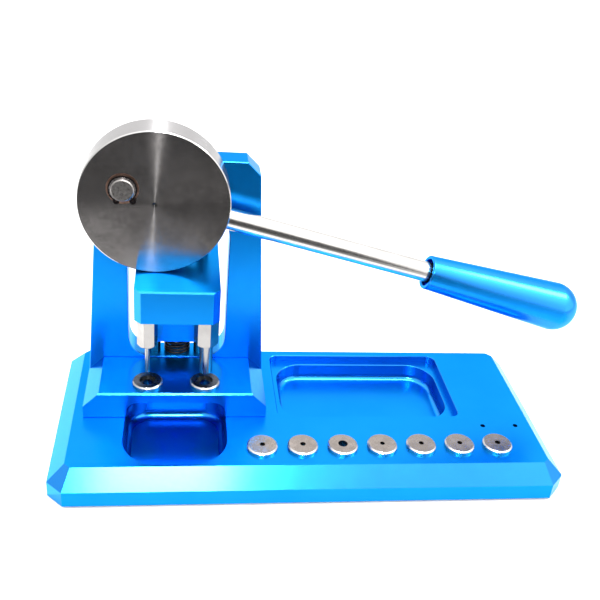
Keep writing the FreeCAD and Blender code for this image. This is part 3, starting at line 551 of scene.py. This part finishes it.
FLOOR_REACH = 6.0
CARD_LIFT = 1 * MM


def make_flat(name, corners):
    """A one-sided piece of the studio with four corners."""
    mesh = bpy.data.meshes.new(name)
    mesh.from_pydata(corners, [], [(0, 1, 2, 3)])
    flat = bpy.data.objects.new(name, mesh)
    scene.collection.objects.link(flat)
    return flat


def level_corners(left, right, front, back, height):
    return [(left, front, height), (right, front, height),
            (right, back, height), (left, back, height)]


def upright_corners(left, right, y, height):
    return [(left, y, 0.0), (right, y, 0.0), (right, y, height), (left, y, height)]


def make_floor():
    floor = make_flat("floor", level_corners(-FLOOR_REACH, FLOOR_REACH,
                                             -FLOOR_REACH, FLOOR_REACH, 0))
    shader = Shader("pale_floor")
    faint = shader.noise(0.6, detail=2)
    shader.feed("Base Color", shader.ramp(faint, [(0.3, 0.56), (0.7, 0.59)]))
    shader.set(Roughness=1.0, Specular_IOR_Level=0.0)
    floor.data.materials.append(shader.material)


def smooth_remap(tree, value, low, high, new_low, new_high):
    node = tree.nodes.new("ShaderNodeMapRange")
    node.interpolation_type = "SMOOTHSTEP"
    node.inputs["From Min"].default_value = low
    node.inputs["From Max"].default_value = high
    node.inputs["To Min"].default_value = new_low
    node.inputs["To Max"].default_value = new_high
    tree.links.new(value, node.inputs["Value"])
    return node.outputs["Result"]


def multiply(tree, first, second):
    node = tree.nodes.new("ShaderNodeMath")
    node.operation = "MULTIPLY"
    tree.links.new(first, node.inputs[0])
    tree.links.new(second, node.inputs[1])
    return node.outputs[0]


def split_coordinates(tree, source):
    coordinates = tree.nodes.new("ShaderNodeTexCoord")
    split = tree.nodes.new("ShaderNodeSeparateXYZ")
    tree.links.new(coordinates.outputs[source], split.inputs[0])
    return split.outputs


SKY_LOW = 1.5
SKY_HIGH = 3.0
RIGHT_SIDE_GAIN = 0.9


def make_world():
    """Pale all round and brighter above, with a brighter side on the front right."""
    world = bpy.data.worlds.new("studio")
    scene.world = world
    world.use_nodes = True
    tree = world.node_tree
    background = tree.nodes["Background"]
    direction = split_coordinates(tree, "Generated")
    upward = smooth_remap(tree, direction["Z"], 0.3, 1.0, SKY_LOW, SKY_HIGH)
    rightward = smooth_remap(tree, direction["X"], 0.35, 0.6, 0.0, RIGHT_SIDE_GAIN)
    frontward = smooth_remap(tree, direction["Y"], 0.2, -0.1, 0.0, 1.0)
    gain = tree.nodes.new("ShaderNodeMath")
    gain.operation = "ADD"
    gain.inputs[0].default_value = 1.0
    tree.links.new(multiply(tree, rightward, frontward), gain.inputs[1])
    strength = multiply(tree, upward, gain.outputs[0])
    tree.links.new(strength, background.inputs["Strength"])
    background.inputs["Color"].default_value = (1.0, 0.995, 0.99, 1)


def make_card(name, corners, glow, make_cover=None):
    """A flat card with an even glow, seen only in reflections.

    make_cover, where given, returns how much of the card covers what is behind it.
    """
    card = make_flat(name, corners)
    material = bpy.data.materials.new(name)
    material.use_nodes = True
    tree = material.node_tree
    tree.nodes.remove(tree.nodes["Principled BSDF"])
    light = tree.nodes.new("ShaderNodeEmission")
    light.inputs["Strength"].default_value = glow
    surface = light.outputs[0]
    if make_cover is not None:
        clear = tree.nodes.new("ShaderNodeBsdfTransparent")
        mix = tree.nodes.new("ShaderNodeMixShader")
        tree.links.new(make_cover(tree), mix.inputs[0])
        tree.links.new(clear.outputs[0], mix.inputs[1])
        tree.links.new(surface, mix.inputs[2])
        surface = mix.outputs[0]
    tree.links.new(surface, tree.nodes["Material Output"].inputs["Surface"])
    card.data.materials.append(material)
    card.visible_camera = False
    card.visible_diffuse = False
    card.visible_shadow = False


DARK_CARD_BACK = -0.08


def floor_cover(tree):
    """The dark card fades in away from the base, and fades to a third on the right."""
    place = split_coordinates(tree, "Object")
    forward = smooth_remap(tree, place["Y"], DARK_CARD_BACK, -0.23, 0.0, 1.0)
    leftward = smooth_remap(tree, place["X"], 0.22, 0.10, 0.3, 1.0)
    return multiply(tree, forward, leftward)


def make_cards():
    """Dark cards in front, beside the camera and far behind it; a bright floor on the left."""
    make_card("dark_card", level_corners(-2.0, 2.0, -2.5, DARK_CARD_BACK, CARD_LIFT), 0.25,
              floor_cover)
    make_card("front_card", upright_corners(-0.17, 0.03, -0.46, 0.42), 0.03)
    make_card("side_card", upright_corners(0.03, 0.26, -0.46, 0.33), 0.10)
    make_card("far_card", upright_corners(-2.5, 0.40, -1.2, 0.32), 0.25)
    make_card("left_card", level_corners(-0.55, -0.121, -0.25, 0.35, CARD_LIFT), 3.3)


# ------------------------------------------------------------------- lights

def make_light(name, place, target, width, height, power):
    """A rectangular area light at place that points at target."""
    data = bpy.data.lights.new(name, "AREA")
    data.shape = "RECTANGLE"
    data.size = width
    data.size_y = height
    data.energy = power
    light = bpy.data.objects.new(name, data)
    scene.collection.objects.link(light)
    light.location = place
    light.rotation_euler = (Vector(target) - Vector(place)).to_track_quat("-Z", "Y").to_euler()
    return light


def make_lights():
    """Soft lights all round, a small lamp for glints and a narrow lamp for the disc alone."""
    make_light("key", (-0.085, -0.56, 0.57), (-0.03, 0, 0.03), 0.18, 0.14, 4.3)
    make_light("overhead", (0.12, -0.10, 0.95), (0.08, 0, 0.05), 0.50, 0.28, 9.0)
    left = make_light("left", (-0.80, -0.10, 0.70), (-0.20, 0, 0.0), 0.4, 0.4, 9.0)
    left.visible_glossy = False
    make_light("right", (0.88, -0.11, 0.95), (0.09, 0, 0.09), 0.34, 0.34, 7.0)
    glint = make_light("lamp", (-0.047, -0.55, 0.70), (-0.07, 0, 0.10), 0.04, 0.04, 1.0)
    glint.visible_diffuse = False
    narrow = make_light("disc_lamp", (-0.034, -0.16, 0.92), (-0.07, 0, 0.12), 0.012, 0.012, 135.0)
    lit = bpy.data.collections.new("lit_by_disc_lamp")
    lit.objects.link(nodes["cam_disc"])
    narrow.light_linking.receiver_collection = lit


make_floor()
make_world()
make_cards()
make_lights()
